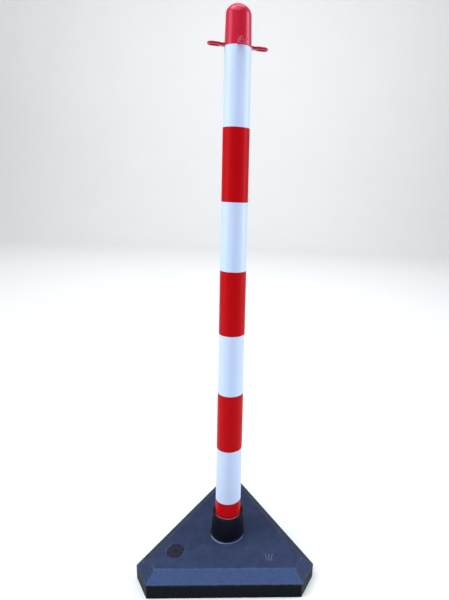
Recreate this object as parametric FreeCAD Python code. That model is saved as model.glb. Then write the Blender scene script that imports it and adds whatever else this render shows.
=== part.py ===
"""Plastic chain stanchion: a tapered white post with red film bands, standing in a collar
on a three-sided ballast base, with a domed cap whose four loops hold the chain.

Millimetres. +Z is up and the origin is on the ground, under the post's axis. The base's
front side faces -Y. Every piece is a solid of its own, written to its own STEP file.
"""

import FreeCAD
import Part
import math
import os

V = FreeCAD.Vector
AXIS = V(0, 0, 1)

# Base: a three-sided slab with its corners cut off and its top edge bevelled
base_side = 342.0        # side of the full triangle, before its corners are cut
corner_cut = 47.0        # length that each cut takes from a side
edge_height = 26.0       # upright part of the outer faces
base_height = 40.0
bevel_run = 18.5         # how far the bevel comes in from the outer face
base_round = 2.0         # rounding of the outer edges
base_floor = 6.0         # rubber left under the socket hole
rim_width = 26.0         # rim of the underside that rests on the ground
pocket_depth = 2.0       # depth of the three pockets inside that rim
boss_wall = 17.0         # rubber round the socket hole, seen from below
rib_width = 16.0         # ribs between the pockets

# Round mould mark and three raised strokes on the base's top
mark_from_front = 55.7   # from the base's outer faces to the mark's centre
mark_from_side = 45.7
mark_r = 15.0
mark_depth = 0.8
mark_relief = 0.4        # height of the pattern inside the mark
mark_ring_r = 6.8
mark_ring_width = 1.6
mark_dot_orbit = 11.6
mark_dot_r = 1.7
mark_dots = 8
stroke_from_front = 40.7
stroke_from_side = 65.8
stroke_length = 15.0
stroke_width = 2.0
stroke_relief = 0.7
stroke_pitch = 4.6
stroke_splay = 12.0      # degrees between neighbouring strokes

# Post: a moulded tube that tapers upwards, banded in equal lengths
band_height = 100.0
band_count = 8
post_foot_d = 44.0
post_top_d = 36.6
post_wall = 2.2
post_edge = 0.5          # chamfer of the tube's outer edges
film_thickness = 0.25

# Foot plug, which closes the tube and stands on the collar's floor
plug_flange = 4.0
plug_inset = 0.5         # how far the flange stays inside the tube's outline
plug_depth = 26.0
plug_wall = 2.5
plug_ribs = 3
plug_rib_width = 2.0
plug_rib_height = 13.0
plug_clearance = 0.1     # on the radius, inside the tube

# Collar, which is pressed into the base and guides the post
collar_floor = 4.0
collar_rise = 46.5       # above the base's top
collar_rim_wall = 4.3
collar_foot_wall = 5.8   # wall where the cone meets its flange
collar_sleeve_wall = 3.9
flange_width = 1.8
flange_height = 2.2
collar_round = 0.8
rim_round = 1.6          # on the rim's outer edge
barb_count = 3
barb_height = 0.5
collar_clearance = 0.35  # between the lowest film band and the collar's bore
barb_clearance = 0.1     # between the barbs and the base's hole

# Cap: a dome on a slightly flared skirt, with a split spigot inside the tube
cap_step = 0.2           # how much the skirt stands inside the tube's outer edge
cap_skirt = 37.5
cap_dome_r = 17.0
cap_dome_rise = 13.5
cap_shoulder = 11.0      # radius where the skirt turns into the dome
cap_wall = 2.3
cap_spigot = 26.0
cap_clearance = 0.1      # on the radius, inside the tube
cap_lead = 0.8           # chamfer of the spigot's end
cap_slots = 4
cap_slot_width = 3.0
cap_slot_depth = 20.0

# Chain loops round the cap's foot: flat oblong eyes, flush with the skirt's lower edge
loop_count = 4
loop_turn = 11.7         # degrees from +X to the first loop
eye_start = 22.0         # from the post's axis to the eye's inner end
eye_end = 41.0           # and to its tip
eye_width = 12.0
eye_rim = 2.75
loop_thickness = 3.2
loop_neck = 6.5
loop_neck_round = 1.5
loop_round = 0.8

# Places that follow from the sizes above
side_distance = base_side / (2 * math.sqrt(3))
cut_distance = base_side / math.sqrt(3) - corner_cut * math.sqrt(3) / 2
seat_z = base_floor + collar_floor
post_foot_z = seat_z + plug_flange
post_length = band_height * band_count
post_top_z = post_foot_z + post_length
collar_bore_r = post_foot_d / 2 + film_thickness + collar_clearance
sleeve_r = collar_bore_r + collar_sleeve_wall
socket_r = sleeve_r + barb_clearance


def post_radius(z):
    """Outer radius of the tapered tube at height z."""
    share = (z - post_foot_z) / post_length
    return (post_foot_d + (post_top_d - post_foot_d) * share) / 2


def tube_bore(z):
    """Inner radius of the tube at height z."""
    return post_radius(z) - post_wall


def revolve(edges):
    """Solid of revolution about Z from edges that close an outline in the XZ plane."""
    wire = Part.Wire(Part.__sortEdges__(edges))
    return Part.Face(wire).revolve(V(0, 0, 0), AXIS, 360)


def outline(points):
    """Straight edges through a list of (radius, z) points, left open."""
    corners = [V(r, 0, z) for r, z in points]
    return [Part.makeLine(a, b) for a, b in zip(corners, corners[1:])]


def turned(points):
    """Solid of revolution whose outline is the closed polygon through the points."""
    return revolve(outline(points + points[:1]))


def spun(shape, degrees):
    """Copy of a shape turned about the post's axis."""
    copy = shape.copy()
    copy.rotate(V(0, 0, 0), AXIS, degrees)
    return copy


def base_corners(inset, z):
    """The six corners of the cut triangle, moved in by inset, at height z."""
    corners = []
    for side in range(3):
        facing = math.radians(270 + 120 * side)
        for hand in (-1, 1):
            # where this side's line meets the line of the cut on its left or right
            along = ((cut_distance - inset) - (side_distance - inset) * math.cos(math.pi / 3)) * hand
            along /= math.sin(math.pi / 3)
            across = side_distance - inset
            x = across * math.cos(facing) - along * math.sin(facing)
            y = across * math.sin(facing) + along * math.cos(facing)
            corners.append(V(x, y, z))
    return corners


def flat_face(corners):
    return Part.Face(Part.makePolygon(corners + corners[:1]))


def slab(inset, low, high):
    """Upright prism on the base's outline, moved in by inset."""
    return flat_face(base_corners(inset, low)).extrude(V(0, 0, high - low))


def bevelled_slab():
    """The base's outer form: an upright prism whose top edge is cut by a wedge on each side."""
    body = slab(0, 0, base_height)
    rise = base_height - edge_height
    for side in range(6):
        distance = cut_distance if side % 2 else side_distance
        wedge = flat_face([
            V(distance - bevel_run, -base_side, base_height),
            V(distance + bevel_run, -base_side, edge_height - rise),
            V(distance + bevel_run, -base_side, base_height),
        ])
        body = body.cut(spun(wedge.extrude(V(0, 2 * base_side, 0)), 270 + 60 * side))
    return body


def on_base_top(from_front, from_side, hand):
    """Point on the base's top at two distances from its outer faces; hand picks the side."""
    y = from_front - side_distance
    x = (side_distance - from_side - y / 2) / math.cos(math.pi / 6)
    return V(hand * x, y, base_height)


def underside_pockets():
    """Three shallow pockets between the rim, the ribs and the boss under the socket."""
    deep = 2 * pocket_depth
    pockets = slab(rim_width, -pocket_depth, pocket_depth)
    pockets = pockets.cut(Part.makeCylinder(socket_r + boss_wall, 2 * deep, V(0, 0, -deep)))
    rib = Part.makeBox(rib_width, base_side, 2 * deep, V(-rib_width / 2, 0, -deep))
    for side in range(3):
        pockets = pockets.cut(spun(rib, 120 * side))
    return pockets


def round_mark():
    """What the round mark takes away: a shallow disc, less a low ring and a circle of dots."""
    centre = on_base_top(mark_from_front, mark_from_side, -1) - V(0, 0, mark_depth)
    ring = Part.makeCylinder(mark_ring_r + mark_ring_width / 2, mark_relief, centre)
    ring = ring.cut(Part.makeCylinder(mark_ring_r - mark_ring_width / 2, mark_relief, centre))
    disc = Part.makeCylinder(mark_r, 2 * mark_depth, centre).cut(ring)
    for i in range(mark_dots):
        angle = 2 * math.pi * i / mark_dots
        offset = V(mark_dot_orbit * math.cos(angle), mark_dot_orbit * math.sin(angle), 0)
        disc = disc.cut(Part.makeCylinder(mark_dot_r, mark_relief, centre + offset))
    return disc


def raised_strokes():
    """Three short raised strokes, side by side and fanned a little."""
    middle = on_base_top(stroke_from_front, stroke_from_side, 1)
    strokes = []
    for i in (-1, 0, 1):
        low = V(-stroke_width / 2, -stroke_length / 2, -stroke_relief)
        bar = Part.makeBox(stroke_width, stroke_length, 2 * stroke_relief, low)
        bar.rotate(V(0, 0, 0), AXIS, -i * stroke_splay)
        bar.translate(middle + V(i * stroke_pitch, 0, 0))
        strokes.append(bar)
    return strokes


def ballast_base():
    """Solid rubber slab with a bevel, rounded outer edges, the socket hole and its marks."""
    body = bevelled_slab()
    outer = [edge for edge in body.Edges if edge.BoundBox.ZMax > edge_height / 2]
    body = body.makeFillet(base_round, outer)
    body = body.cut(underside_pockets())
    body = body.cut(Part.makeCylinder(socket_r, base_height, V(0, 0, base_floor)))
    body = body.cut(round_mark())
    for stroke in raised_strokes():
        body = body.fuse(stroke)
    return body.removeSplitter()


def socket_collar():
    """Cup pressed into the base: barbed sleeve, flange on the base's top, tapering collar."""
    valley_r = sleeve_r - barb_height
    cone_foot_r = collar_bore_r + collar_foot_wall
    flange_r = cone_foot_r + flange_width
    flange_top = base_height + flange_height
    rim_r = collar_bore_r + collar_rim_wall
    rim_z = base_height + collar_rise
    points = [(0, base_floor), (valley_r - barb_height, base_floor), (valley_r, base_floor + barb_height)]
    pitch = (base_height - base_floor) / (barb_count + 1)
    for i in range(1, barb_count + 1):
        z = base_floor + i * pitch
        points += [(valley_r, z - pitch / 2), (sleeve_r, z), (valley_r, z)]
    points += [
        (valley_r, base_height),
        (flange_r, base_height),
        (flange_r, flange_top - collar_round),
        (flange_r - collar_round, flange_top),
        (cone_foot_r, flange_top),
        (rim_r, rim_z - rim_round),
        (rim_r - rim_round, rim_z),
        (collar_bore_r + collar_round, rim_z),
        (collar_bore_r, rim_z - collar_round),
        (collar_bore_r, seat_z),
        (0, seat_z),
    ]
    return turned(points)


def post_tube():
    """Tapered tube, open at both ends, with its outer edges chamfered."""
    low = post_foot_z
    high = post_top_z
    return turned([
        (tube_bore(low), low),
        (post_radius(low) - post_edge, low),
        (post_radius(low + post_edge), low + post_edge),
        (post_radius(high - post_edge), high - post_edge),
        (post_radius(high) - post_edge, high),
        (tube_bore(high), high),
    ])


def red_film(index):
    """One red film band wrapped round the tube; band 0 is at the tube's foot."""
    low = post_foot_z + 2 * index * band_height
    high = low + band_height
    if index == 0:
        low += post_edge
    return turned([
        (post_radius(low), low),
        (post_radius(low) + film_thickness, low),
        (post_radius(high) + film_thickness, high),
        (post_radius(high), high),
    ])


def post_foot_plug():
    """Cup-shaped plug: a flange under the tube's end and a ribbed spigot inside the tube."""
    top = post_foot_z + plug_depth
    flange_r = post_foot_d / 2 - plug_inset
    foot_r = tube_bore(post_foot_z) - plug_clearance
    top_r = tube_bore(top) - plug_clearance
    plug = turned([
        (0, seat_z),
        (flange_r - plug_inset, seat_z),
        (flange_r, seat_z + plug_inset),
        (flange_r, post_foot_z),
        (foot_r, post_foot_z),
        (top_r, top),
        (top_r - plug_wall, top),
        (top_r - plug_wall, post_foot_z),
        (0, post_foot_z),
    ])
    rib = Part.makeBox(top_r - plug_wall / 2, plug_rib_width, plug_rib_height)
    rib.translate(V(0, -plug_rib_width / 2, post_foot_z))
    for i in range(plug_ribs):
        plug = plug.fuse(spun(rib, 360 * i / plug_ribs))
    return plug.removeSplitter()


def dome_arcs(radius, rise, shoulder, z):
    """Dome outline from (radius, z) to the axis at z + rise: a shoulder arc, then a crown arc.

    The crown's centre is on the axis, and its radius makes the two arcs meet tangentially.
    """
    reach = radius - shoulder
    crown_r = (reach ** 2 + rise ** 2 - shoulder ** 2) / (2 * (rise - shoulder))
    crown_z = z + rise - crown_r
    join_angle = math.atan2(z - crown_z, reach)

    def on_arc(centre_r, centre_z, arc_r, angle):
        return V(centre_r + arc_r * math.cos(angle), 0, centre_z + arc_r * math.sin(angle))

    arcs = []
    for centre_r, centre_z, arc_r, first, last in (
        (reach, z, shoulder, 0, join_angle),
        (0, crown_z, crown_r, join_angle, math.pi / 2),
    ):
        spots = [on_arc(centre_r, centre_z, arc_r, a) for a in (first, (first + last) / 2, last)]
        arcs.append(Part.Arc(*spots).toShape())
    return arcs


def cap_shell():
    """Hollow dome on its skirt, with the split spigot that goes into the tube."""
    spring_z = post_top_z + cap_skirt
    skirt_r = post_radius(post_top_z) - cap_step
    spigot_r = tube_bore(post_top_z) - cap_clearance
    hollow_r = spigot_r - cap_wall
    hollow_rise = cap_dome_rise - cap_wall
    spigot_z = post_top_z - cap_spigot
    edges = outline([
        (0, spring_z + cap_dome_rise),
        (0, spring_z + hollow_rise),
    ])
    edges += outline([
        (hollow_r, spring_z),
        (hollow_r, spigot_z),
        (spigot_r - cap_lead, spigot_z),
        (spigot_r, spigot_z + cap_lead),
        (spigot_r, post_top_z),
        (skirt_r, post_top_z),
        (cap_dome_r, spring_z),
    ])
    edges += dome_arcs(cap_dome_r, cap_dome_rise, cap_shoulder, spring_z)
    edges += dome_arcs(hollow_r, hollow_rise, cap_shoulder - cap_wall, spring_z)
    shell = revolve(edges)
    slot = Part.makeBox(2 * spigot_r, cap_slot_width, cap_slot_depth)
    slot.translate(V(0, -cap_slot_width / 2, spigot_z))
    for i in range(cap_slots):
        shell = shell.cut(spun(slot, loop_turn + 360 * (i + 0.5) / cap_slots))
    return shell


def oblong(start, end, width):
    """Flat-ended prism with round ends, along +X from start to end, as thick as a loop."""
    half = width / 2
    middle = Part.makeBox(end - start - width, width, loop_thickness, V(start + half, -half, post_top_z))
    ends = [Part.makeCylinder(half, loop_thickness, V(x, 0, post_top_z)) for x in (start + half, end - half)]
    return middle.fuse(ends).removeSplitter()


def chain_loop():
    """One flat eye with its neck, along +X; the neck's root is inside the cap's wall."""
    root = cap_dome_r - cap_wall / 2
    eye_middle = (eye_start + eye_end) / 2
    neck_size = (eye_middle - root, loop_neck, loop_thickness)
    loop = oblong(eye_start, eye_end, eye_width)
    loop = loop.fuse(Part.makeBox(*neck_size, V(root, -loop_neck / 2, post_top_z))).removeSplitter()
    joins = [
        edge for edge in loop.Edges
        if edge.BoundBox.ZLength > loop_thickness / 2
        and eye_start - eye_rim < edge.CenterOfMass.x < eye_start + eye_width / 2
        and abs(edge.CenterOfMass.y) < eye_width / 2 - loop_round
    ]
    loop = loop.makeFillet(loop_neck_round, joins)
    loop = loop.cut(oblong(eye_start + eye_rim, eye_end - eye_rim, eye_width - 2 * eye_rim))
    rims = [
        edge for edge in loop.Edges
        if edge.BoundBox.ZLength < loop_thickness / 2 and edge.CenterOfMass.x > root + loop_round
    ]
    return loop.makeFillet(loop_round, rims)


def loop_cap():
    """Cap and its chain loops, one moulding."""
    cap = cap_shell()
    loop = chain_loop()
    for i in range(loop_count):
        cap = cap.fuse(spun(loop, loop_turn + 360 * i / loop_count))
    return cap.removeSplitter()


pieces = {
    "ballast_base": ballast_base(),
    "socket_collar": socket_collar(),
    "post_foot_plug": post_foot_plug(),
    "post_tube": post_tube(),
    "loop_cap": loop_cap(),
}
for index in range(band_count // 2):
    pieces["red_film_%d" % (index + 1)] = red_film(index)

os.makedirs("parts", exist_ok=True)
for name, shape in pieces.items():
    solid = shape.Solids[0]
    solid.exportStep("parts/%s.step" % name)
    print(name, len(shape.Solids), solid.isValid(), round(solid.Volume / 1000, 2), "cm3")
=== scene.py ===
"""Looks of a plastic chain stanchion: a tapered white post with red film bands, standing in a
black collar on a three-sided ballast base of recycled rubber, with a red cap and chain eyes.

Metres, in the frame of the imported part: +Z is up and the base's front side faces -Y.
"""

import math

import bpy
import numpy as np
from mathutils import Matrix, Vector


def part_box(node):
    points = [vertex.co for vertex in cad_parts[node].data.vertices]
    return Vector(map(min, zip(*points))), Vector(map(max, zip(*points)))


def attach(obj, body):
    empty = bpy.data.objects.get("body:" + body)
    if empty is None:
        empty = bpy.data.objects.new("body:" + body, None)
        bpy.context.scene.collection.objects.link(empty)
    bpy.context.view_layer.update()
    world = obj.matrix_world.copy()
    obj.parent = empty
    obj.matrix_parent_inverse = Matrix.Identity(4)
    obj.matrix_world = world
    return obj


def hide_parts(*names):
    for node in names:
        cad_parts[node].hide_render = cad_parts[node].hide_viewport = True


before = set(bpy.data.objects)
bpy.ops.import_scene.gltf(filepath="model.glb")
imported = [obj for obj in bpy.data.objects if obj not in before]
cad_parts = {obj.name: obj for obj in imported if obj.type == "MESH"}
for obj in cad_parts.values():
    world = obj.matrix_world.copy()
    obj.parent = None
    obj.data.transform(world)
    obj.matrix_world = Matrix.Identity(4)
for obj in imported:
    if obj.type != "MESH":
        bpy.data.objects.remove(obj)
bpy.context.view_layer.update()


# --- Camera -------------------------------------------------------------------------------
# A person's view from just in front: above the base, below the cap, and slightly turned and
# tilted. The shift moves the post left of the lens axis.
camera_distance = 0.672
camera_height = 0.6368
camera_bearing = math.radians(1.3)
camera_heading = math.radians(-3.6)
camera_pitch = math.radians(15.41)
camera_roll = math.radians(2.56)

ahead = Vector((-math.sin(camera_heading), math.cos(camera_heading), 0))
across = Vector((math.cos(camera_heading), math.sin(camera_heading), 0))
looking = ahead * math.cos(camera_pitch) - Vector((0, 0, math.sin(camera_pitch)))
above = ahead * math.sin(camera_pitch) + Vector((0, 0, math.cos(camera_pitch)))
right = across * math.cos(camera_roll) + above * math.sin(camera_roll)
up = above * math.cos(camera_roll) - across * math.sin(camera_roll)
turn = Matrix((right, up, -looking)).transposed().to_4x4()
stand = Vector((
    camera_distance * math.sin(camera_bearing),
    -camera_distance * math.cos(camera_bearing),
    camera_height,
))
camera = bpy.data.objects.new("camera", bpy.data.cameras.new("camera"))
camera.data.lens = 26.96
camera.data.shift_x = -0.0748
camera.data.shift_y = 0.0188
camera.matrix_world = Matrix.Translation(stand) @ turn
bpy.context.collection.objects.link(camera)
bpy.context.scene.camera = camera
bpy.context.scene.view_settings.view_transform = "Standard"


# --- Floor and light ----------------------------------------------------------------------
# A plain pale floor that curves up into a wall far behind, in a pale room. The light is soft:
# a box on each side, three overhead, and one that lights the wall.
def rows_mesh(name, rows, columns_join=True, rows_join=False, poles=()):
    """Mesh through a grid of points: rows[i, j] joins rows[i, j + 1] and rows[i + 1, j].

    columns_join and rows_join carry the grid round from its last column or row to its first.
    poles are the points that close the first and the last row, each with a fan. Columns that
    run anticlockwise seen from above, under rows that rise, face outwards.
    """
    count, width, _ = rows.shape
    spans = width if columns_join else width - 1
    i = np.arange(count if rows_join else count - 1)[:, None] * width
    j = np.arange(spans)[None, :]
    k = (j + 1) % width
    above_i = (i + width) % (count * width)
    quads = np.stack([i + j, i + k, above_i + k, above_i + j], -1).reshape(-1, 4)
    points = [rows.reshape(-1, 3)]
    corners = [quads.ravel()]
    sizes = [np.full(len(quads), 4)]
    for end, pole in enumerate(poles):
        tip = np.full(spans, count * width + end)
        edge = (count - 1) * width * end
        ring = [edge + k.ravel(), edge + j.ravel()]
        corners.append(np.stack([tip, *(ring[::-1] if end else ring)], -1).ravel())
        sizes.append(np.full(spans, 3))
        points.append(np.array(pole, float)[None, :])
    sizes = np.concatenate(sizes)
    mesh = bpy.data.meshes.new(name)
    points = np.concatenate(points)
    mesh.vertices.add(len(points))
    mesh.vertices.foreach_set("co", points.ravel())
    corners = np.concatenate(corners)
    mesh.loops.add(len(corners))
    mesh.loops.foreach_set("vertex_index", corners)
    mesh.polygons.add(len(sizes))
    mesh.polygons.foreach_set("loop_start", np.concatenate([[0], np.cumsum(sizes)[:-1]]))
    mesh.polygons.foreach_set("loop_total", sizes)
    mesh.polygons.foreach_set("use_smooth", np.ones(len(sizes), bool))
    mesh.update(calc_edges=True)
    piece = bpy.data.objects.new(name, mesh)
    bpy.context.collection.objects.link(piece)
    return piece


class Value:
    """One output of a node. + - and * on either side of it add Math nodes to its material."""

    def __init__(self, finish, socket):
        self.finish = finish
        self.socket = socket

    def math(self, operation, *terms):
        return self.finish.add("Math", {"operation": operation}, dict(enumerate(terms)))

    def __add__(self, other):
        return self.math("ADD", self, other)

    def __sub__(self, other):
        return self.math("SUBTRACT", self, other)

    def __mul__(self, other):
        return self.math("MULTIPLY", self, other)

    def __rsub__(self, other):
        return self.math("SUBTRACT", other, self)

    __radd__ = __add__
    __rmul__ = __mul__


class Finish:
    """One material: its main shader, the place on the object, and ways to add nodes."""

    def __init__(self, name, **constants):
        self.material = bpy.data.materials.new(name)
        self.material.use_nodes = True
        self.tree = self.material.node_tree
        self.shader = self.tree.nodes["Principled BSDF"]
        self.place = self.add("TexCoord", output="Object")
        for socket, value in constants.items():
            self.shader.inputs[socket.replace("_", " ")].default_value = value

    def add(self, kind, settings=None, inputs=None, output=0):
        """Adds a node of a kind, with its settings made first; gives back one output."""
        node = self.tree.nodes.new("ShaderNode" + kind)
        for key, value in (settings or {}).items():
            setattr(node, key, value)
        for key, value in (inputs or {}).items():
            self.feed(node.inputs[key], value)
        return Value(self, node.outputs[output])

    def feed(self, socket, value):
        if isinstance(value, Value):
            self.tree.links.new(value.socket, socket)
        else:
            socket.default_value = value

    def set(self, **sockets):
        """Feeds what varies over the surface into the main shader; gives back the material."""
        for socket, value in sockets.items():
            self.feed(self.shader.inputs[socket.replace("_", " ")], value)
        return self.material

    def along(self, axis, place=None):
        """The x, y or z of a place on the object."""
        return self.add("SeparateXYZ", None, {0: place or self.place}, axis.upper())

    def scaled(self, size, stretch=(1, 1, 1)):
        """The place on the object in units of a size, longer where stretch is above 1."""
        scale = [1 / (size * factor) for factor in stretch]
        return self.add("Mapping", None, {"Vector": self.place, "Scale": scale})

    def noise(self, size, stretch=(1, 1, 1), detail=3.0):
        """Soft random patches of about a size, from 0 to 1."""
        inputs = {"Vector": self.scaled(size, stretch), "Scale": 1.0, "Detail": detail}
        return self.add("TexNoise", None, inputs)

    def cells(self, size):
        """Distance from the middle of packed grains of about a size, 0 to 1."""
        return self.add("TexVoronoi", None, {"Vector": self.scaled(size), "Scale": 1.0})

    def ramp(self, value, low, high):
        """0 at low, 1 at high, and a smooth slope between them; low may be the larger."""
        inputs = {"Value": value, "From Min": low, "From Max": high}
        return self.add("MapRange", {"interpolation_type": "SMOOTHSTEP"}, inputs)

    def mix(self, factor, first, second):
        """The first colour where factor is 0 and the second where it is 1."""
        return self.add("Mix", {"data_type": "RGBA"}, {0: factor, 6: first, 7: second}, 2)

    def bump(self, height, distance):
        """Normal of a surface raised by height times distance."""
        return self.add("Bump", None, {"Height": height, "Distance": distance}, "Normal")


def paint(piece, material):
    piece.data.materials.clear()
    piece.data.materials.append(material)


floor_half = 12.0
wall_start = 4.0
wall_bend = 1.5
wall_height = 3.0


def studio_floor():
    """Strip along X whose section is a floor line, a quarter circle and a wall line."""
    angles = np.linspace(0, math.pi / 2, 24)
    y = wall_start + wall_bend * np.sin(angles)
    z = wall_bend * (1 - np.cos(angles))
    y = np.concatenate([[-floor_half], y, y[-1:]])
    z = np.concatenate([[0.0], z, [wall_height]])
    rows = np.empty((len(y), 2, 3))
    rows[:, 0, 0] = -floor_half
    rows[:, 1, 0] = floor_half
    rows[:, :, 1] = y[:, None]
    rows[:, :, 2] = z[:, None]
    return rows_mesh("floor", rows, columns_join=False)


floor = studio_floor()
floor_paint = Finish("floor_paint", Roughness=0.9)
pale = floor_paint.mix(floor_paint.noise(0.4), (0.80, 0.80, 0.80, 1), (0.83, 0.83, 0.83, 1))
paint(floor, floor_paint.set(Base_Color=pale))


def soft_box(name, place, size, power, aim, tint):
    """Area light of a width and height, turned to face the point it is aimed at."""
    lamp = bpy.data.lights.new(name, "AREA")
    lamp.shape = "RECTANGLE"
    lamp.size, lamp.size_y = size
    lamp.energy = power
    lamp.color = tint
    light = bpy.data.objects.new(name, lamp)
    light.location = place
    light.rotation_euler = (Vector(aim) - Vector(place)).to_track_quat("-Z", "Y").to_euler()
    light.visible_camera = False
    bpy.context.collection.objects.link(light)


daylight = (0.90, 0.95, 1.0)
soft_box("left_box", (-1.7, -0.45, 0.9), (0.9, 1.7), 16, (0, 0, 0.42), daylight)
soft_box("right_box", (1.75, 0.05, 0.9), (0.7, 1.7), 24, (0, 0, 0.42), daylight)
soft_box("top_box", (-0.35, -1.05, 2.4), (1.8, 1.5), 27, (0, 0, 0.2), daylight)
soft_box("over_box", (-0.1, 0.30, 2.5), (1.7, 0.8), 15, (0, 0, 0.8), daylight)
soft_box("crown_box", (-1.1, -0.15, 2.5), (0.9, 0.8), 18, (0, 0, 0.8), daylight)
soft_box("wall_box", (0.0, 1.5, 3.0), (5.0, 1.0), 110, (0, 5.5, 1.2), (1.0, 1.0, 1.0))

room = bpy.data.worlds.new("room")
room.use_nodes = True
room.node_tree.nodes["Background"].inputs["Color"].default_value = (0.92, 0.96, 1.0, 1)
room.node_tree.nodes["Background"].inputs["Strength"].default_value = 0.44
bpy.context.scene.world = room


# --- Ballast base -------------------------------------------------------------------------
# Recycled rubber crumb pressed in a mould: a three-sided slab with cut corners and a bevelled
# top edge, a round mould mark and three raised strokes on top, and pockets underneath. It is
# black crumb; its upper faces are painted a dull blue as a painted sky sheen, with painted
# highlights on the front bevel, the cut faces, the mark's rim and the edges, and painted shade
# on the rear bevels. The collar is pressed into its hole.
base_low, base_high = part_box("ballast_base")
side_distance = -base_low[1]
cut_distance = base_high[1]
base_height = 0.040
edge_height = 0.026
bevel_run = 0.0185
base_round = 0.002
socket_r = 0.0266
socket_floor = 0.006
rim_width = 0.026
pocket_depth = 0.002
boss_r = 0.0436
rib_half = 0.008
mark_spot = (-0.08605, -0.04303)
mark_r = 0.015
mark_depth = 0.0008
mark_relief = 0.0004
mark_ring_r = 0.0068
mark_ring_half = 0.0008
mark_dots_r = 0.0116
mark_dot_r = 0.0017
mark_dots = 8
stroke_spot = (0.0715, -0.0580)
stroke_pitch = 0.0046
stroke_half = (0.0010, 0.0065)
stroke_splay = math.radians(12)
stroke_rise = 0.0007
relief_blur = 0.0007
corner_share = 0.12

facings = np.radians(270 + 60 * np.arange(6))
distances = np.where(np.arange(6) % 2, cut_distance, side_distance)


def soft_step(value):
    """0 below 0, 1 above 1, and 3 v^2 - 2 v^3 between them."""
    v = np.clip(value, 0, 1)
    return v * v * (3 - 2 * v)


def waves(places, size, seed):
    """Unevenness, -1 to 1: ten sine waves about a size long, added up in seeded directions."""
    rng = np.random.default_rng(seed)
    directions = rng.normal(size=(10, places.shape[-1]))
    lengths = size * rng.uniform(0.6, 1.8, 10)
    directions *= (2 * math.pi / lengths / np.linalg.norm(directions, axis=1))[:, None]
    return np.sin(places @ directions.T + rng.uniform(0, 2 * math.pi, 10)).mean(axis=-1) * 2


def base_corner(side, inset):
    """Corner between a face and the next, both moved in by inset: where their lines cross."""
    a = facings[side % 6]
    b = facings[(side + 1) % 6]
    p = distances[side % 6] - inset
    q = distances[(side + 1) % 6] - inset
    sine = math.sin(math.pi / 3)
    x = (p * np.sin(b) - q * np.sin(a)) / sine
    y = (q * np.cos(a) - p * np.cos(b)) / sine
    return np.stack([x, y], -1)


def base_outline(way, inset):
    """Points on the base's outline, moved in by inset, at ways 0 to 6 round it.

    The whole part of a way counts faces. The start of each face's share is the rounded corner
    before it: its centre is that corner moved in by the rounding's radius, and the point is
    the radius away along a direction that turns from one face's to the next. The rest runs
    straight to the next corner.
    """
    side = np.floor(way).astype(int)
    share = way - side
    direction = facings[side % 6] - math.pi / 3 * (1 - np.clip(share / corner_share, 0, 1))
    along = np.clip((share - corner_share) / (1 - corner_share), 0, 1)[:, None]
    inner = inset + base_round
    centre = base_corner(side - 1, inner) * (1 - along) + base_corner(side, inner) * along
    return centre + base_round * np.stack([np.cos(direction), np.sin(direction)], -1)


def crowded(amounts, weights, count):
    """Count values from the first amount to the last, closer together under high weights."""
    shares = (weights[1:] + weights[:-1]) / 2 * np.diff(amounts)
    total = np.concatenate([[0], np.cumsum(shares)])
    return np.interp(np.linspace(0, total[-1], count), total, amounts)


def base_columns(count):
    """Ways round the base, crowded at the corners and in line with the mark and the strokes."""
    way = np.linspace(0, 6, 12001)
    spots = base_outline(way, bevel_run)
    pace = np.linalg.norm(np.gradient(spots, axis=0), axis=1) / np.gradient(way)
    weights = pace / 0.0030 + np.where(way % 1 < corner_share, 5 / corner_share, 0)
    bearing = np.arctan2(spots[:, 1], spots[:, 0])
    for spot, half in ((mark_spot, math.radians(10)), (stroke_spot, math.radians(6.5))):
        gap = np.angle(np.exp(1j * (bearing - math.atan2(spot[1], spot[0]))))
        weights = weights + pace / 0.0008 * np.exp(-(gap / half) ** 4)
    return crowded(way, weights, count + 1)[:-1]


def disc(x, y, spot, radius):
    """1 inside a circle and 0 outside it, with a soft edge."""
    return soft_step((radius - np.hypot(x - spot[0], y - spot[1])) / relief_blur + 0.5)


def top_relief(x, y):
    """Height of the mark and the strokes above the base's top.

    The mark is a sunk disc with a raised ring and a circle of raised dots in it. Each stroke
    is what lies within a half width of a short line, and the three lines are fanned.
    """
    height = -mark_depth * disc(x, y, mark_spot, mark_r)
    height += mark_relief * disc(x, y, mark_spot, mark_ring_r + mark_ring_half)
    height -= mark_relief * disc(x, y, mark_spot, mark_ring_r - mark_ring_half)
    for i in range(mark_dots):
        angle = 2 * math.pi * i / mark_dots
        dot = (
            mark_spot[0] + mark_dots_r * math.cos(angle),
            mark_spot[1] + mark_dots_r * math.sin(angle),
        )
        height += mark_relief * disc(x, y, dot, mark_dot_r)
    for i in (-1, 0, 1):
        u = x - stroke_spot[0] - i * stroke_pitch
        v = y - stroke_spot[1]
        lean = i * stroke_splay
        beside = u * math.cos(lean) - v * math.sin(lean)
        along = u * math.sin(lean) + v * math.cos(lean)
        reach = np.hypot(beside, np.maximum(np.abs(along) - stroke_half[1], 0))
        height += stroke_rise * soft_step((stroke_half[0] - reach) / relief_blur + 0.5)
    return height


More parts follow.
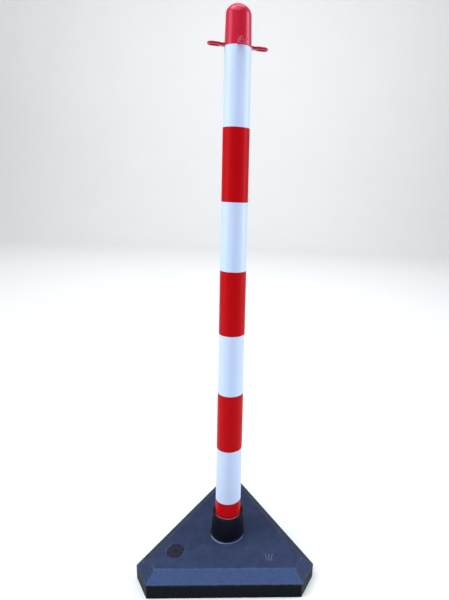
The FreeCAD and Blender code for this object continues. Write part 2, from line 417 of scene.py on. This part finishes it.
def soft_path(corners, spacing, steps=6):
    """Line of points through (across, up, reach) corners, at most a spacing apart.

    Each corner becomes a parabola between the points a reach away on its two legs, so it
    leaves both legs flush: (1-t)^2 first + 2t(1-t) corner + t^2 last.
    """
    spots = [np.array(corner[:2], float) for corner in corners]
    line = [spots[0][None]]
    t = np.linspace(0, 1, steps)[:, None]
    for before, spot, after, corner in zip(spots, spots[1:], spots[2:], corners[1:]):
        if corner[2]:
            first = spot + (before - spot) * corner[2] / np.linalg.norm(before - spot)
            last = spot + (after - spot) * corner[2] / np.linalg.norm(after - spot)
            line.append((1 - t) ** 2 * first + 2 * t * (1 - t) * spot + t ** 2 * last)
        else:
            line.append(spot[None])
    line = np.concatenate(line + [spots[-1][None]])
    gaps = np.linalg.norm(np.diff(line, axis=0), axis=1)
    legs = [line[:1]]
    for start, end, gap in zip(line, line[1:], gaps):
        count = max(1, math.ceil(gap / spacing))
        legs.append(start + (end - start) * np.arange(1, count + 1)[:, None] / count)
    return np.concatenate(legs)


def base_surface(ways):
    """Closed surface of the base, from the middle of its underside round to the socket's floor.

    Every row goes round the base. Between the boss and the pockets, and between the socket's
    mouth and the bevel, a row is a circle blended into the outline by a share of the way.
    """
    rim = base_outline(ways, rim_width)
    bearing = np.arctan2(rim[:, 1], rim[:, 0])
    circle = np.stack([np.cos(bearing), np.sin(bearing)], -1)
    innermost_r = 0.006
    past_boss_r = boss_r + 0.0008
    boss_slope = 0.0012
    rib_slope = 0.0025

    outward = crowded(np.array([0, 0.9, 0.97, 1]), np.array([1, 1, 3, 3]), 26)[1:]
    under = [circle * r for r in np.linspace(innermost_r, past_boss_r, 12)]
    under += [circle * past_boss_r * (1 - share) + rim * share for share in outward]
    under = np.stack(under)
    inside = np.hypot(under[..., 0], under[..., 1])
    sunk = soft_step((inside - boss_r) / boss_slope + 0.5)
    for side in range(3):
        lean = math.radians(90 + 120 * side)
        beside = under[..., 1] * math.cos(lean) - under[..., 0] * math.sin(lean)
        along = under[..., 0] * math.cos(lean) + under[..., 1] * math.sin(lean)
        off_rib = soft_step((np.abs(beside) - rib_half) / rib_slope + 0.5)
        sunk = sunk * np.where(along > 0, off_rib, 1)
    sunk[-1] = 0
    under = np.dstack([under, pocket_depth * sunk])

    past_bevel = bevel_run + 0.002
    profile = soft_path([
        (rim_width - 0.0004, 0, 0),
        (0, 0, 0.0008),
        (0, edge_height, base_round * 0.50),
        (bevel_run, base_height, base_round * 0.34),
        (past_bevel, base_height, 0),
    ], 0.0032)
    edge = []
    for inset, height in profile:
        ring = base_outline(ways, inset)
        edge.append(np.column_stack([ring, np.full(len(ring), height)]))
    edge = np.stack(edge)

    mouth = 0.0005
    spring = base_outline(ways, past_bevel)
    bearing = np.arctan2(spring[:, 1], spring[:, 0])
    turn = np.stack([np.cos(bearing), np.sin(bearing)], -1)
    ring = turn * (socket_r + mouth)
    share = np.linspace(0, 1, 401)
    density = 1 / 0.030 + 1 / 0.0062 * np.exp(-((share - 0.63) / 0.165) ** 6)
    inward = crowded(share, density, 86)[-2:0:-1, None, None]
    top = spring * inward + ring * (1 - inward)
    top = np.dstack([top, base_height + top_relief(top[..., 0], top[..., 1])])

    socket = soft_path([
        (socket_r + mouth, base_height, 0),
        (socket_r, base_height, mouth),
        (socket_r, socket_floor, 0.0003),
        (0.004, socket_floor, 0),
    ], 0.005)
    across, height = socket[:, :1, None], socket[:, 1:, None]
    down = np.dstack([across * turn, np.broadcast_to(height, (len(socket), len(turn), 1))])
    rows = np.concatenate([under, edge, top, down])
    dip = 0.5 + 0.5 * np.clip(waves(rows, 0.016, 5), -1, 1)
    side_dip = 0.0009
    top_dip = 0.00012
    rows[..., :2] *= 1 - side_dip * dip[..., None]
    rows[..., 2] -= top_dip * dip * (rows[..., 2] > edge_height)
    return rows


def edge_highlight_and_wear(points, ways):
    """How much each point is lightened, 0 to 1, as a painted highlight with some rubbed wear:
    it falls off beside the bevel's edges and its hips.
    """
    to_faces = distances - points[:, :2] @ np.stack([np.cos(facings), np.sin(facings)])
    inset = to_faces.min(axis=1)
    height = points[:, 2]
    reach = 0.0012
    top_line = np.exp(-((inset - bevel_run) / 0.0007) ** 2)
    low_line = np.exp(-(inset / reach) ** 2) * np.exp(-((height - edge_height) / reach) ** 2)
    line = np.where(height > edge_height / 2, np.maximum(top_line, low_line), 0)
    hip = np.append(np.tile(ways % 1 < corner_share, len(points) // len(ways)), [False, False])
    on_bevel = (height > edge_height) & (inset < bevel_run)
    return line + 0.8 * (hip & on_bevel)


ways = base_columns(430)
base = rows_mesh("rubber_base", base_surface(ways), poles=((0, 0, 0), (0, 0, socket_floor)))
points = np.empty(3 * len(base.data.vertices), np.float32)
base.data.vertices.foreach_get("co", points)
points = points.reshape(-1, 3)
rubbed = base.data.attributes.new("rubbed", "FLOAT", "POINT")
rubbed.data.foreach_set("value", edge_highlight_and_wear(points, ways))
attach(base, "base")
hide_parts("ballast_base")

rubber = Finish("recycled_rubber", Specular_IOR_Level=0.08)
height = rubber.along("z")
upper = rubber.ramp(height, edge_height - 0.0012, edge_height + 0.0006)
from_front = rubber.along("y") + side_distance
strokes = rubber.ramp(height, base_height + 0.0002, base_height + 0.0006)
to_side = rubber.add("VectorMath", {"operation": "ABSOLUTE"}, {0: rubber.place})
to_side = rubber.along("x", to_side) * math.cos(math.pi / 6)
beyond_cut = to_side - rubber.along("y") * 0.5
from_rear = side_distance - to_side - rubber.along("y") * 0.5
lit_cut_face = rubber.ramp(beyond_cut, cut_distance - 0.0016, cut_distance - 0.0004)
lit_front_bevel = upper * rubber.ramp(from_front, bevel_run + 0.0008, bevel_run - 0.0004)
lit_front_bevel *= rubber.ramp(cut_distance - beyond_cut - from_front, -0.0006, 0.0006)
shaded_rear_bevels = upper * rubber.ramp(from_rear, bevel_run + 0.0006, bevel_run - 0.0006)
shaded_rear_bevels *= rubber.ramp(cut_distance - beyond_cut - from_rear, -0.0006, 0.0006)
towards_rear = rubber.ramp(rubber.along("y"), -0.045, 0.090)
crumb = rubber.cells(0.0018)
small_crumb = rubber.cells(0.0008)
fine = rubber.noise(0.0009, detail=2.0)
rubbed = rubber.add("Attribute", {"attribute_name": "rubbed"}, output="Fac")
rubbed *= 0.25 + 0.75 * rubber.ramp(rubber.noise(0.012), 0.45, 0.65)
patches = rubber.noise(0.022)
stain = rubber.ramp(rubber.noise(0.009), 0.56, 0.72)
mark_centre = (*mark_spot, base_height)
to_mark = rubber.add(
    "VectorMath", {"operation": "DISTANCE"}, {0: rubber.place, 1: mark_centre}, "Value"
)
in_mark = rubber.ramp(to_mark, mark_r + 0.0006, mark_r - 0.0008)
# Upper faces: a mottled dull blue over the black crumb, which is a painted sky sheen; stains,
# the mark and the strokes are mixed over it.
top_sheen_colour = rubber.mix(patches, (0.022, 0.033, 0.077, 1), (0.040, 0.060, 0.134, 1))
# The front bevel is painted a lighter blue: a painted highlight from the light above the front.
top_sheen_colour = rubber.mix(lit_front_bevel * 0.7, top_sheen_colour, (0.056, 0.096, 0.230, 1))
top_sheen_colour = rubber.mix(stain * (0.5 - 0.3 * lit_front_bevel), top_sheen_colour, (0.036, 0.026, 0.050, 1))
top_sheen_colour = rubber.mix(towards_rear * 0.40, top_sheen_colour, (0.014, 0.019, 0.046, 1))
# The rear bevels are painted darker: painted shade where they face away from the light.
top_sheen_colour = rubber.mix(shaded_rear_bevels * 0.75, top_sheen_colour, (0.010, 0.012, 0.026, 1))
sunk = in_mark * rubber.ramp(height, base_height - 0.00046, base_height - 0.00072)
# A painted highlight on the mark's rim wall, in patches.
mark_rim_highlight = rubber.ramp(to_mark, mark_r - 0.0012, mark_r)
mark_rim_highlight *= rubber.ramp(to_mark, mark_r + 0.0012, mark_r) * rubber.ramp(patches, 0.50, 0.62)
top_sheen_colour = rubber.mix(in_mark * 0.50, top_sheen_colour, (0.034, 0.026, 0.036, 1))
top_sheen_colour = rubber.mix(sunk * 0.70, top_sheen_colour, (0.012, 0.008, 0.012, 1))
top_sheen_colour = rubber.mix(mark_rim_highlight, top_sheen_colour, (0.080, 0.095, 0.140, 1))
top_sheen_colour = rubber.mix(strokes * 0.65, top_sheen_colour, (0.110, 0.150, 0.230, 1))
side = rubber.mix(fine, (0.001, 0.002, 0.004, 1), (0.004, 0.006, 0.009, 1))
# The cut faces are painted lighter than the front face: painted light from the side lamps, in
# patches.
side = rubber.mix(lit_cut_face * patches, side, (0.050, 0.056, 0.072, 1))
gaps = rubber.ramp(crumb, 0.48, 0.80) * 0.22 + rubber.ramp(small_crumb, 0.50, 0.85) * 0.10
# The sides keep the black crumb; the upper faces take the painted sheen.
colour = rubber.mix(upper * (0.80 + 0.2 * fine), side, top_sheen_colour)
colour = rubber.mix(gaps, colour, (0.004, 0.005, 0.009, 1))
# Lighter along the bevel's edges and hips: a painted highlight, with some rubbed wear.
colour = rubber.mix(rubbed * 0.4, colour, (0.085, 0.120, 0.200, 1))
relief = fine * 0.3 - crumb * 0.8 - small_crumb * 0.3 + rubber.noise(0.006) * 0.8
paint(base, rubber.set(
    Base_Color=colour,
    Roughness=0.62 + 0.16 * fine - 0.10 * upper,
    Normal=rubber.bump(relief, 0.00050),
))


# --- Socket collar ------------------------------------------------------------------------
# Black moulded plastic cup: a barbed sleeve pressed into the base, a thin flange on the base's
# top, and a cone whose rim guides the post. The front of its flange and rim carries painted
# highlights: a pale pink painted reflection on the rim and pale blue on the flange's edge.
_, collar_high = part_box("socket_collar")
seat_z = 0.010
collar_bore_r = 0.0226
sleeve_r = 0.0265
barb = 0.0005
cone_foot_r = 0.0284
flange_r = collar_high[0]
flange_top = 0.0422
rim_r = 0.0269
rim_z = collar_high[2]


def lathe(path, columns):
    """Rows of a turned shape: each (radius, height) point of a path carried round +Z."""
    angles = np.arange(columns) * 2 * math.pi / columns
    turn = np.stack([np.cos(angles), np.sin(angles)], -1)
    flat = path[:, :1, None] * turn
    return np.dstack([flat, np.broadcast_to(path[:, 1:, None], flat.shape[:2] + (1,))])


def collar_path():
    """Section of the collar from under its floor, out and up the sleeve, and down its bore."""
    pitch = (base_height - socket_floor) / 4
    innermost_r = 0.003
    corners = [(innermost_r, socket_floor, 0), (sleeve_r - 2 * barb, socket_floor, 0.0003)]
    corners.append((sleeve_r - barb, socket_floor + barb, 0.0001))
    for i in (1, 2, 3):
        z = socket_floor + i * pitch
        corners += [
            (sleeve_r - barb, z - pitch / 2, 0.0004),
            (sleeve_r, z - 0.0002, 0.00012),
            (sleeve_r - barb, z, 0.00012),
        ]
    corners += [
        (sleeve_r - barb, base_height, 0.0002),
        (flange_r, base_height, 0.0003),
        (flange_r, flange_top, 0.0009),
        (cone_foot_r, flange_top, 0.0007),
        (rim_r, rim_z, 0.0018),
        (collar_bore_r, rim_z, 0.0010),
        (collar_bore_r, seat_z, 0.0006),
        (innermost_r, seat_z, 0),
    ]
    return soft_path(corners, 0.004, 8)


collar_poles = ((0, 0, socket_floor), (0, 0, seat_z))
collar = rows_mesh("collar", lathe(collar_path(), 160), poles=collar_poles)
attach(collar, "base")
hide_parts("socket_collar")


def from_axis(finish):
    """Distance of a place from the post's axis."""
    flat = finish.add("VectorMath", {"operation": "MULTIPLY"}, {0: finish.place, 1: (1, 1, 0)})
    return finish.add("VectorMath", {"operation": "LENGTH"}, {0: flat}, "Value")


black = Finish("collar_plastic", Specular_IOR_Level=0.10)
height = black.along("z")
radius = from_axis(black)
grain = black.noise(0.0007, detail=2.0)
scuffs = black.ramp(black.noise(0.004, (1, 1, 0.35)), 0.58, 0.72)
facing_front = black.ramp(black.along("y"), -0.004, -0.018)
# A painted reflection, pale pink, on the front of the rim.
rim_highlight = facing_front * (0.55 + 0.45 * black.noise(0.006))
rim_highlight *= black.ramp(height, rim_z - 0.0016, rim_z - 0.0006)
rim_highlight *= black.ramp(radius, collar_bore_r + 0.0015, collar_bore_r + 0.0008)
# A painted highlight, pale blue, along the front of the flange's edge, paler on the left.
flange_highlight = facing_front * (0.5 + 0.5 * black.noise(0.008))
flange_highlight *= black.ramp(radius, flange_r - 0.0016, flange_r - 0.0004)
dust = black.ramp(height, flange_top + 0.006, flange_top - 0.001) * black.noise(0.003)
colour = black.mix(grain, (0.002, 0.003, 0.007, 1), (0.005, 0.006, 0.014, 1))
colour = black.mix(scuffs * 0.25, colour, (0.030, 0.034, 0.050, 1))
colour = black.mix(dust * 0.5, colour, (0.030, 0.045, 0.085, 1))
colour = black.mix(rim_highlight, colour, (0.54, 0.40, 0.50, 1))
left_side = black.ramp(black.along("x"), 0.004, -0.018)
flange_highlight_colour = black.mix(left_side, (0.13, 0.19, 0.30, 1), (0.25, 0.31, 0.41, 1))
colour = black.mix(flange_highlight, colour, flange_highlight_colour)
paint(collar, black.set(
    Base_Color=colour,
    Roughness=0.36 + 0.18 * grain + 0.15 * scuffs,
    Normal=black.bump(grain + black.noise(0.006), 0.00008),
))


# --- Foot plug ----------------------------------------------------------------------------
# Black moulded plastic cup pushed up into the post's foot, standing on the collar's floor.
# Only its flange and underside show when the post is lifted.
plug = Finish("plug_plastic", Specular_IOR_Level=0.4)
grain = plug.noise(0.0008, detail=2.0)
rubbed = plug.ramp(plug.along("z"), 0.0112, 0.0100) * plug.noise(0.005)
colour = plug.mix(grain, (0.006, 0.007, 0.011, 1), (0.013, 0.014, 0.019, 1))
colour = plug.mix(rubbed, colour, (0.060, 0.060, 0.066, 1))
paint(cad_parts["post_foot_plug"], plug.set(
    Base_Color=colour,
    Roughness=0.42 + 0.2 * grain,
    Normal=plug.bump(grain, 0.00008),
))


# --- Post tube ----------------------------------------------------------------------------
# White moulded plastic tube that tapers upwards, satin, with faint lengthwise flow lines, light
# scuffs and a little dirt towards the foot.
post_low, post_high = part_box("post_tube")
post_foot_z = post_low[2]
post_top_z = post_high[2]
post_foot_r = 0.0220
post_top_r = 0.0183
post_wall = 0.0022
post_edge = 0.0005
post_middle_z = 0.4


def post_radius(z):
    """Outer radius at a height: it falls evenly from the foot to the top."""
    share = (z - post_foot_z) / (post_top_z - post_foot_z)
    return post_foot_r + (post_top_r - post_foot_r) * share


tube_path = soft_path([
    (post_radius(post_middle_z) - post_wall, post_middle_z, 0),
    (post_foot_r - post_wall, post_foot_z, 0.0004),
    (post_foot_r, post_foot_z, post_edge),
    (post_top_r, post_top_z, post_edge),
    (post_top_r - post_wall, post_top_z, 0.0004),
    (post_radius(post_middle_z) - post_wall, post_middle_z, 0),
], 0.010)[:-1]
tube = rows_mesh("white_tube", lathe(tube_path, 144), rows_join=True)
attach(tube, "post")
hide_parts("post_tube")

white = Finish("white_plastic", Specular_IOR_Level=0.45)
height = white.along("z")
flow = white.noise(0.0016, (1, 1, 60), detail=2.0)
cloud = white.noise(0.035, (1, 1, 2.5))
marks = white.ramp(white.noise(0.0035, (1, 1, 4)), 0.66, 0.78)
low_dirt = white.ramp(height, 0.30, 0.10) * white.noise(0.012, (1, 1, 2))
# The white plastic is tinted blue in its colour: a painted tint of sky light.
colour = white.mix(cloud, (0.48, 0.585, 0.81, 1), (0.51, 0.615, 0.84, 1))
colour = white.mix(flow * 0.12, colour, (0.56, 0.65, 0.82, 1))
colour = white.mix(marks * 0.18, colour, (0.36, 0.42, 0.50, 1))
colour = white.mix(low_dirt * 0.20, colour, (0.34, 0.40, 0.50, 1))
paint(tube, white.set(
    Base_Color=colour,
    Roughness=0.34 + 0.12 * cloud + 0.15 * marks,
    Normal=white.bump(flow * 0.5 + cloud, 0.00008),
))


# --- Red films ----------------------------------------------------------------------------
# Four bands of self-adhesive red vinyl film, each wrapped once round the tube. A band's end
# lies over its start in a short lap, its cut edges waver a little, and small blisters are
# trapped under it.
band_height = 0.100
film_single = 0.00013
film_lap = 0.00011
lap_width = math.radians(28)
lap_bearings = (84, 97, 71, 108)
lap_cut = math.radians(0.12)
lap_climb = math.radians(9)
end_waver = 0.00012


def film_band(name, low, high, bearing):
    """Closed thin shell round the tube, its outer face a film's thickness off the tube.

    In the lap the thickness rises by a second film: at once at the lap's cut edge, and slowly
    at its other side, where the film climbs onto its own start. Both ends waver in height.
    """
    beside_cut = math.radians(2.5)
    angles = bearing + np.concatenate([
        [-lap_cut, 0.0, lap_cut],
        np.linspace(beside_cut, 2 * math.pi - beside_cut, 150),
    ])
    gap = (angles - bearing) % (2 * math.pi)
    lap = soft_step(gap / lap_cut) * soft_step((lap_width - gap) / lap_climb)
    thickness = film_single + film_lap * lap
    share = np.concatenate([[0, 0.0012], np.linspace(0.02, 0.98, 16), [0.9988, 1]])
    lift = np.concatenate([[0.35, 1], np.ones(16), [1, 0.35]])
    turn = np.stack([np.cos(angles), np.sin(angles)], -1)
    start = low + end_waver * (1 + waves(turn, 0.9, 11 + int(high * 100)))
    end = high - end_waver * (1 + waves(turn, 0.9, 12 + int(high * 100)))
    z = start + (end - start) * share[:, None]
    round_tube = np.broadcast_to(turn * 0.02, (len(z),) + turn.shape)
    ripple = 0.00002 * waves(np.dstack([round_tube, z]), 0.03, 7)
    outer = post_radius(z) + thickness * lift[:, None] + ripple
    inner = post_radius(z[::-1]) - 0.00005
    radius = np.concatenate([outer, inner])
    rows = np.dstack([radius[..., None] * turn, np.concatenate([z, z[::-1]])])
    return rows_mesh(name, rows, rows_join=True)


vinyl = Finish("red_vinyl", Specular_IOR_Level=0.05)
peel = vinyl.noise(0.0022, detail=2.0)
drag = vinyl.noise(0.0011, (1, 1, 40), detail=2.0)
fade = vinyl.noise(0.05)
blisters = vinyl.ramp(vinyl.cells(0.007), 0.13, 0.03)
rubs = vinyl.ramp(vinyl.noise(0.004, (1, 1, 3)), 0.64, 0.80)
colour = vinyl.mix(fade, (0.38, 0.0008, 0.0030, 1), (0.46, 0.0012, 0.0042, 1))
colour = vinyl.mix(drag * 0.25, colour, (0.50, 0.004, 0.007, 1))
to_edge = vinyl.add(
    "Math", {"operation": "PINGPONG"}, {0: vinyl.along("z") - post_foot_z, 1: band_height / 2}
)
colour = vinyl.mix(vinyl.ramp(to_edge, 0.0016, 0.0002) * 0.6, colour, (0.12, 0.002, 0.008, 1))
colour = vinyl.mix(rubs * 0.15, colour, (0.44, 0.030, 0.040, 1))
vinyl.set(
    Base_Color=colour,
    Roughness=0.30 + 0.12 * peel + 0.15 * rubs,
    Normal=vinyl.bump(peel + 0.5 * drag + 1.2 * blisters, 0.00007),
)
for i, bearing in enumerate(lap_bearings):
    node = "red_film_%d" % (i + 1)
    film_low, film_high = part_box(node)
    film = film_band("film_band_%d" % (i + 1), film_low[2], film_high[2], math.radians(bearing))
    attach(film, "post")
    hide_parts(node)
    paint(film, vinyl.material)


# --- Cap and chain eyes -------------------------------------------------------------------
# One glossy red moulding: a dome on a slightly flared skirt, four flat oblong eyes for the
# chain, level with the skirt's lower edge, and a split spigot that grips inside the tube.
cap_low, cap_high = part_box("loop_cap")
dome_top = cap_high[2]
skirt_top_r = 0.0170
dome_spring = 0.8515
shoulder_r = 0.0110
skirt_foot_r = post_top_r - 0.0002
spigot_r = 0.0160
cap_wall = 0.0023
hollow_r = spigot_r - cap_wall
spigot_z = cap_low[2]
slot_top = spigot_z + 0.020
slot_half = 0.0015
eye_turn = math.radians(11.7)
eye_start = 0.022
eye_end = 0.041
eye_half = 0.006
eye_rim = 0.00275
eye_thick = 0.0032
neck_half = 0.00325
neck_root = 0.0165


def dome_arc(radius, rise, shoulder, z):
    """Dome section from its rim up to the axis: a shoulder arc, then a crown arc.

    The crown's centre is on the axis, and its radius makes the arcs meet flush.
    """
    reach = radius - shoulder
    crown_r = (reach ** 2 + rise ** 2 - shoulder ** 2) / (2 * (rise - shoulder))
    crown_z = z + rise - crown_r
    join = math.atan2(z - crown_z, reach)
    low = np.linspace(0, join, 24)[:, None]
    high = np.linspace(join, math.pi / 2, 20)[1:-1, None]
    lower = np.hstack([reach + shoulder * np.cos(low), z + shoulder * np.sin(low)])
    upper = np.hstack([crown_r * np.cos(high), crown_z + crown_r * np.sin(high)])
    return np.concatenate([lower, upper])


def cap_surface():
    """Rows from the hollow's middle, down inside, under the spigot, and up over the dome.

    Below slot_top the spigot's rows are squeezed up to the slot's end wherever a column stands
    in one of the four slots, so each slot is a steep-sided gap in the spigot.
    """
    angles = []
    for quarter in range(4):
        slot = eye_turn + math.pi / 4 + quarter * math.pi / 2
        half = slot_half / spigot_r
        angles.append(slot + half * np.array([-1, -0.95, -0.5, 0.5, 0.95, 1]))
        angles.append(np.linspace(slot + half * 1.4, slot + math.pi / 2 - half * 1.4, 30))
    angles = np.concatenate(angles)
    inside = np.tile([0, 1, 1, 1, 1, 0] + [0] * 30, 4)
    rise = dome_top - dome_spring
    hollow = dome_arc(hollow_r, rise - cap_wall, shoulder_r - cap_wall, dome_spring)
    outer = dome_arc(skirt_top_r, rise, shoulder_r, dome_spring)
    below = soft_path([
        (hollow_r, dome_spring, 0),
        (hollow_r, spigot_z, 0.0005),
        (spigot_r - 0.0006, spigot_z, 0.0002),
        (spigot_r, spigot_z + 0.0010, 0.0003),
        (spigot_r, post_top_z, 0.0002),
        (skirt_foot_r, post_top_z, 0.0006),
        (skirt_top_r, dome_spring, 0),
    ], 0.002)
    path = np.concatenate([hollow[:0:-1], below[:-1], outer])
    turn = np.stack([np.cos(angles), np.sin(angles)], -1)
    z = np.broadcast_to(path[:, 1:], (len(path), len(angles))).copy()
    squeezed = slot_top + (z - spigot_z) * (post_top_z - slot_top) / (post_top_z - spigot_z)
    z = np.where(inside & (path[:, 1:] < post_top_z), squeezed, z)
    return np.dstack([path[:, :1, None] * turn, z])


cap_poles = ((0, 0, dome_top - cap_wall), (0, 0, dome_top))
shell = rows_mesh("cap_shell", cap_surface(), poles=cap_poles)


def evenly(line, count):
    """Count points the same distance apart along a line of points."""
    length = np.concatenate([[0], np.cumsum(np.linalg.norm(np.diff(line, axis=0), axis=1))])
    wanted = np.linspace(0, length[-1], count)
    return np.stack([np.interp(wanted, length, line[:, axis]) for axis in (0, 1)], -1)


def eye_sides():
    """Half of an eye seen from above, along +X: its outer edge and, in step, its slot's edge.

    The outer edge's half width is the larger of the neck's and the round end's, blended over
    a fillet, and the neck widens where it runs into the skirt.
    """
    near = eye_start + eye_half
    far = eye_end - eye_half
    x = np.linspace(neck_root, near, 400)
    flare, flare_x, flare_run, widest_neck = 0.0016, 0.0178, 0.0008, 0.0052
    neck = neck_half + flare * np.exp(-(x - flare_x) / flare_run)
    neck = np.minimum(neck, widest_neck)
    round_end = np.sqrt(np.maximum(eye_half ** 2 - (near - x) ** 2, 0))
    blend = 0.00045
    width = blend * np.logaddexp(neck / blend, round_end / blend)
    settle_x, settle_run = 0.024, 0.003
    width = width * (eye_half / width[-1]) ** soft_step((x - settle_x) / settle_run)
    lead = np.column_stack([x, width])
    root = np.column_stack([np.full(12, neck_root), np.linspace(0, lead[0, 1], 13)[:-1]])
    outer_near = evenly(np.concatenate([root, lead]), 60)

    inner_half = eye_half - eye_rim
    angles = np.linspace(math.pi, math.pi / 2, 60)[:, None]
    inner_near = np.hstack([near + inner_half * np.cos(angles), inner_half * np.sin(angles)])

    straight = np.linspace(near, far, 10)[1:, None]
    angles = np.linspace(math.pi / 2, 0, 40)[1:, None]
    sides = []
    for first, half in ((outer_near, eye_half), (inner_near, inner_half)):
        flank = np.hstack([straight, np.full_like(straight, half)])
        end = np.hstack([far + half * np.cos(angles), half * np.sin(angles)])
        sides.append(np.concatenate([first, flank, end]))
    return sides


def eye_surface(bearing):
    """Closed ring round an eye's slot, whose section is a rounded bar from slot to outer edge.

    Every column joins a point of the outer edge to its partner on the slot's edge; the bar's
    section is laid between them, its rounding taken off both ends.
    """
    outer, inner = [np.concatenate([side, side[-2:0:-1] * (1, -1)]) for side in eye_sides()]
    width = np.linalg.norm(outer - inner, axis=1)
    slope = (outer - inner) / width[:, None]
    rounding = 0.30
    bar = soft_path([
        (0, 0.5, 0), (0, 1, rounding), (0.5, 1, 0), (1, 1, rounding), (1, 0, rounding),
        (0.5, 0, 0), (0, 0, rounding), (0, 0.5, 0),
    ], 0.3)[:-1]
    side, height = bar[:, :1], bar[:, 1:]
    from_slot = np.where(side <= 0.5, side * eye_rim, width - (1 - side) * eye_rim)
    flat = inner + slope * from_slot[..., None]
    crown = 0.00008 * np.sin(math.pi * side) * np.sign(height - 0.5)
    z = post_top_z + eye_thick * height - crown + 0 * from_slot
    x = flat[..., 0] * math.cos(bearing) - flat[..., 1] * math.sin(bearing)
    y = flat[..., 0] * math.sin(bearing) + flat[..., 1] * math.cos(bearing)
    return np.stack([x, y, z], -1)


red = Finish("red_plastic", Specular_IOR_Level=0.6, Specular_Tint=(1.0, 0.45, 0.80, 1))
height = red.along("z")
ripple = red.noise(0.010)
skin = red.noise(0.0012, detail=2.0)
scratches = red.ramp(red.noise(0.0022, (1, 1, 5)), 0.66, 0.76)
foot_grime = red.ramp(height, post_top_z + 0.0022, post_top_z + 0.0002) * red.noise(0.003)
colour = red.mix(ripple, (0.44, 0.0025, 0.014, 1), (0.50, 0.0040, 0.020, 1))
colour = red.mix(scratches * 0.2, colour, (0.60, 0.10, 0.14, 1))
colour = red.mix(foot_grime * 0.35, colour, (0.18, 0.010, 0.022, 1))
red.set(
    Base_Color=colour,
    Roughness=0.26 + 0.08 * skin + 0.2 * scratches,
    Normal=red.bump(0.8 * ripple + 0.10 * skin, 0.00012),
)
eyes = [
    rows_mesh("chain_eye_%d" % (i + 1), eye_surface(eye_turn + i * math.pi / 2), rows_join=True)
    for i in range(4)
]
for piece in [shell] + eyes:
    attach(piece, "cap")
    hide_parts("loop_cap")
    paint(piece, red.material)
